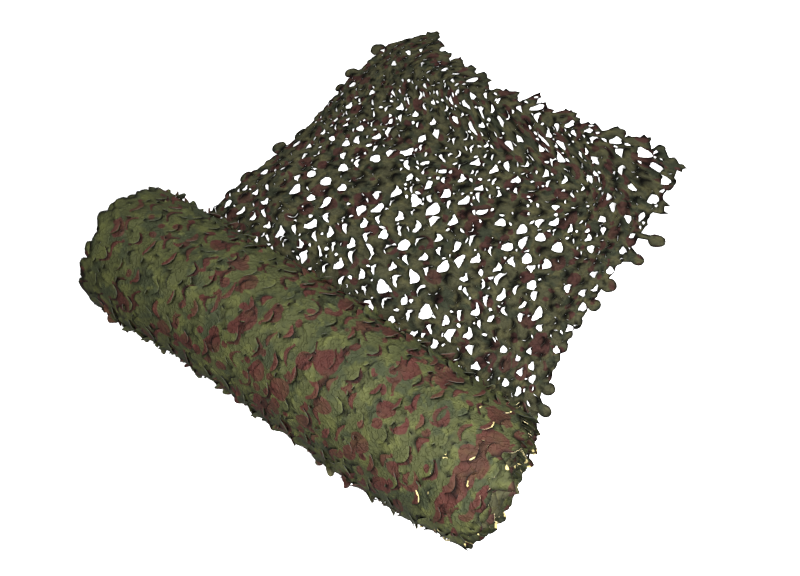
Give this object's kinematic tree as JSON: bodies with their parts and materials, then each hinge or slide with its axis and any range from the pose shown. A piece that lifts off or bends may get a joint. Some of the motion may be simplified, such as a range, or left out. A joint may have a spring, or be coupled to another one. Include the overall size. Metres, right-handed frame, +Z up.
{
  "type": "camouflage net",
  "caption": "Bulk roll of leaf-cut camouflage netting lying on its side, with its loose end rolled out flat on the ground behind it.",
  "frame": {"origin": "middle of the flat spot under the roll, on the floor", "axes": "+X along the roll, +Y from the roll towards the far edge of the loose end, +Z up"},
  "size_m": [1.6006, 1.9736, 0.4457],
  "materials": {
    "net_cloth": "matt woven synthetic cloth in green with brown blotches"
  },
  "bodies": {
    "root": {"net_roll": "net_cloth", "net_loose_end": "net_cloth"}
  },
  "joints": []
}
